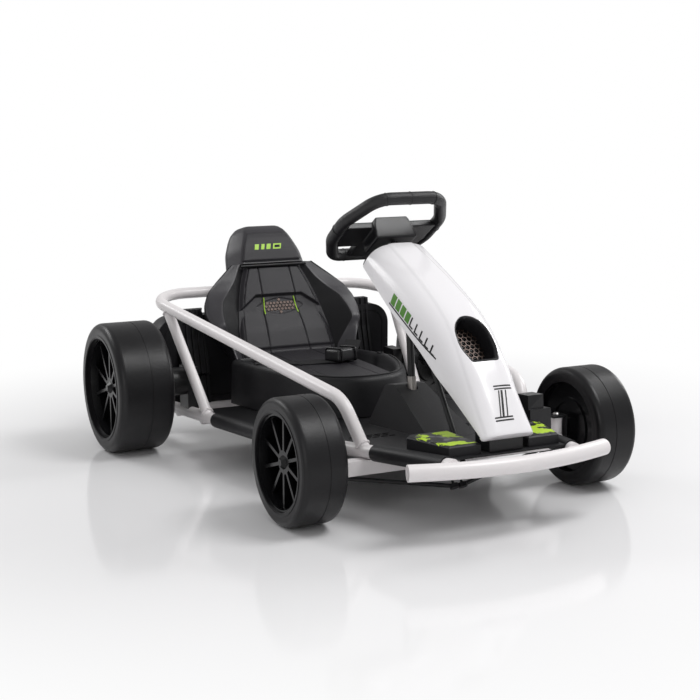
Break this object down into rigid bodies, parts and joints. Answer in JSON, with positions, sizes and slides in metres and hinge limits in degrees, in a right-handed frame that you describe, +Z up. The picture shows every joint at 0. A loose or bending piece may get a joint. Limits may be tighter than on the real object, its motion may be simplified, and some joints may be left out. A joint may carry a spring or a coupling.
{
  "type": "ride-on electric drift kart",
  "caption": "A child's electric ride-on drift kart: bent tube frame, moulded bucket seat, white nose fairing, steered front wheels and wide slick rear tyres.",
  "frame": {"origin": "on the ground under the middle of the kart's length and width", "axes": "-Y forward, +Z up, +X to the driver's left"},
  "size_m": [0.894, 1.108, 0.5585],
  "materials": {
    "white_tube": "gloss white paint",
    "black_metal": "black paint",
    "steel": "brushed",
    "bright_bolt": "bright plated",
    "black_plastic": "fine-grained",
    "seat_cover": "soft synthetic leather",
    "webbing": "woven",
    "white_shell": "gloss",
    "mesh": "satin",
    "grip": "soft-touch",
    "tyre_rubber": "smooth slick",
    "rim_black": "gloss"
  },
  "bodies": {
    "chassis": {"bumper_tube": "white_tube", "lower_rail_left": "white_tube", "lower_rail_right": "white_tube", "rear_cross_tubes": "white_tube", "front_beam": "white_tube", "hoop_tube": "white_tube", "hoop_struts": "white_tube", "floor_tray": "black_plastic", "steering_hump": "black_plastic", "post_collar": "steel", "steering_post": "black_metal", "foot_rests": "black_plastic", "pedal_box": "black_plastic", "pedal": "black_plastic", "seat_shell": "black_plastic", "seat_back_pad": "seat_cover", "headrest": "seat_cover", "seat_base": "black_plastic", "seat_cushion": "seat_cover", "lap_belts": "webbing", "belt_buckle": "black_plastic", "seat_saddles": "black_metal", "axle_carriers": "black_metal", "rear_axles": "steel", "drive_pod_left": "black_plastic", "drive_pod_right": "black_plastic", "power_box": "black_plastic", "fairing": "white_shell", "fairing_trim": "black_plastic", "intake_frame": "black_plastic", "intake_grille": "mesh", "nose_block": "black_plastic", "kingpin_bolts": "bright_bolt"},
    "steering": {"steering_rim": "grip", "steering_hub": "grip", "steering_shaft": "black_metal"},
    "knuckle_left": {"knuckle_left": "black_metal"},
    "tie_rod_left": {"tie_rod_left": "black_metal"},
    "front_wheel_left": {"front_tyre_left": "tyre_rubber", "front_rim_left": "rim_black"},
    "rear_wheel_left": {"rear_tyre_left": "tyre_rubber", "rear_rim_left": "rim_black"},
    "knuckle_right": {"knuckle_right": "black_metal"},
    "tie_rod_right": {"tie_rod_right": "black_metal"},
    "front_wheel_right": {"front_tyre_right": "tyre_rubber", "front_rim_right": "rim_black"},
    "rear_wheel_right": {"rear_tyre_right": "tyre_rubber", "rear_rim_right": "rim_black"}
  },
  "joints": [
    {"name": "steering_turn", "type": "hinge", "parent": "chassis", "child": "steering", "pos_m": [0, -0.07434, 0.488], "axis": [0, 0.5736, 0.8192], "range_deg": [-20, 20]},
    {"name": "knuckle_left_turn", "type": "hinge", "parent": "chassis", "child": "knuckle_left", "pos_m": [0.24, -0.30434, 0.1055], "axis": [0, 0, 1], "range_deg": [-20.5, 20.5]},
    {"name": "tie_rod_left_turn", "type": "hinge", "parent": "knuckle_left", "child": "tie_rod_left", "pos_m": [0.248, -0.26584, 0.068], "axis": [0, 0, 1], "range_deg": [-20.5, 20.5]},
    {"name": "front_wheel_left_spin", "type": "hinge", "parent": "knuckle_left", "child": "front_wheel_left", "pos_m": [0.302, -0.30434, 0.113], "axis": [1, 0, 0], "continuous": true},
    {"name": "rear_wheel_left_spin", "type": "hinge", "parent": "chassis", "child": "rear_wheel_left", "pos_m": [0.387, 0.35066, 0.135], "axis": [1, 0, 0], "continuous": true},
    {"name": "knuckle_right_turn", "type": "hinge", "parent": "chassis", "child": "knuckle_right", "pos_m": [-0.24, -0.30434, 0.1055], "axis": [0, 0, 1], "range_deg": [-20.5, 20.5]},
    {"name": "tie_rod_right_turn", "type": "hinge", "parent": "knuckle_right", "child": "tie_rod_right", "pos_m": [-0.248, -0.26584, 0.068], "axis": [0, 0, 1], "range_deg": [-20.5, 20.5]},
    {"name": "front_wheel_right_spin", "type": "hinge", "parent": "knuckle_right", "child": "front_wheel_right", "pos_m": [-0.302, -0.30434, 0.113], "axis": [1, 0, 0], "continuous": true},
    {"name": "rear_wheel_right_spin", "type": "hinge", "parent": "chassis", "child": "rear_wheel_right", "pos_m": [-0.387, 0.35066, 0.135], "axis": [1, 0, 0], "continuous": true}
  ],
  "couplings": [
    {"joint": "knuckle_left_turn", "follows": "steering_turn", "ratio": 1},
    {"joint": "tie_rod_left_turn", "follows": "steering_turn", "ratio": -1},
    {"joint": "knuckle_right_turn", "follows": "steering_turn", "ratio": 1},
    {"joint": "tie_rod_right_turn", "follows": "steering_turn", "ratio": -1}
  ]
}
